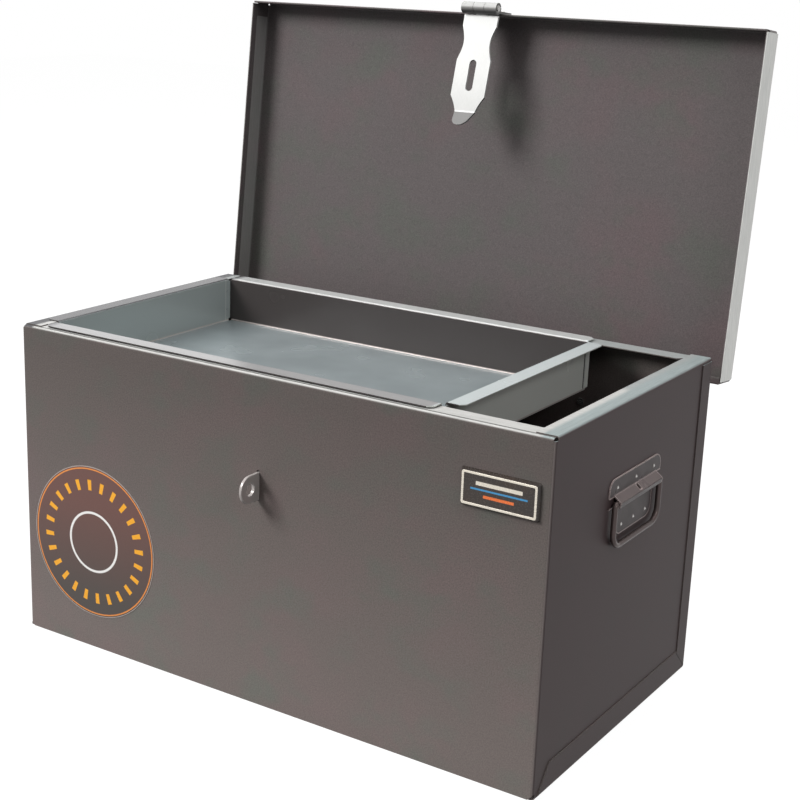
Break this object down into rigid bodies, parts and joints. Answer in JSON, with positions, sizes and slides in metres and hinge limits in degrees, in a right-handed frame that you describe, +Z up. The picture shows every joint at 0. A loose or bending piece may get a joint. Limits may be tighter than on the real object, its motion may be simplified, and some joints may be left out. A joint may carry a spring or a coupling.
{
  "type": "job site box",
  "caption": "Steel job site box with a hinged lid, a padlock hasp and staple, drop handles on the ends and a sliding tray on its rim.",
  "frame": {"origin": "middle of the underside of the box", "axes": "+Z up, -Y towards the front with the staple, +X towards the right-hand end"},
  "size_m": [0.615, 0.4381, 0.6486],
  "materials": {
    "box_sheet": "satin",
    "lid_sheet": "satin",
    "tray_sheet": "satin",
    "zinc": "satin",
    "fastener": "satin",
    "dark_steel": "gloss",
    "handle_steel": "satin",
    "bail_wire": "satin",
    "badge_metal": "gloss",
    "badge_ground": "gloss",
    "label_print": "satin"
  },
  "bodies": {
    "box": {"front_end_wrap": "box_sheet", "back_bottom_sheet": "box_sheet", "hasp_staple": "dark_steel", "badge_frame": "badge_metal", "badge_field": "badge_ground", "round_label": "label_print", "handle_plate_left": "handle_steel", "handle_plate_right": "handle_steel", "handle_rivets_left": "fastener", "handle_rivets_right": "fastener", "hinge_leaf_box_left": "zinc", "hinge_leaf_box_right": "zinc", "hinge_pin_left": "fastener", "hinge_pin_right": "fastener", "hinge_rivets_box": "fastener"},
    "lid": {"lid_shell": "lid_sheet", "hinge_leaf_lid_left": "zinc", "hinge_leaf_lid_right": "zinc", "hinge_rivets_lid": "fastener", "lid_stops": "zinc", "hasp_leaf": "zinc", "hasp_pin": "fastener", "hasp_rivets": "fastener"},
    "hasp": {"hasp_strap": "zinc"},
    "tray": {"tray": "tray_sheet", "tray_welds": "tray_sheet", "tray_feet": "tray_sheet"},
    "left_bail": {"bail_left": "bail_wire"},
    "right_bail": {"bail_right": "bail_wire"}
  },
  "joints": [
    {"name": "lid_hinge", "type": "hinge", "parent": "box", "child": "lid", "pos_m": [0, 0.1745, 0.295], "axis": [1, 0, 0], "range_deg": [0, 96]},
    {"name": "hasp_swing", "type": "hinge", "parent": "lid", "child": "hasp", "pos_m": [0, 0.20671, 0.64264], "axis": [1, 0, 0], "range_deg": [-102, 0]},
    {"name": "tray_slide", "type": "slide", "parent": "box", "child": "tray", "axis": [1, 0, 0], "range_m": [0, 0.097]},
    {"name": "handle_left_swing", "type": "hinge", "parent": "box", "child": "left_bail", "pos_m": [-0.3032, 0, 0.2379], "axis": [0, 1, 0], "range_deg": [0, 90]},
    {"name": "handle_right_swing", "type": "hinge", "parent": "box", "child": "right_bail", "pos_m": [0.3032, 0, 0.2379], "axis": [0, -1, 0], "range_deg": [0, 90]}
  ],
  "couplings": [
    {"joint": "hasp_swing", "follows": "lid_hinge", "ratio": -1.0625}
  ]
}
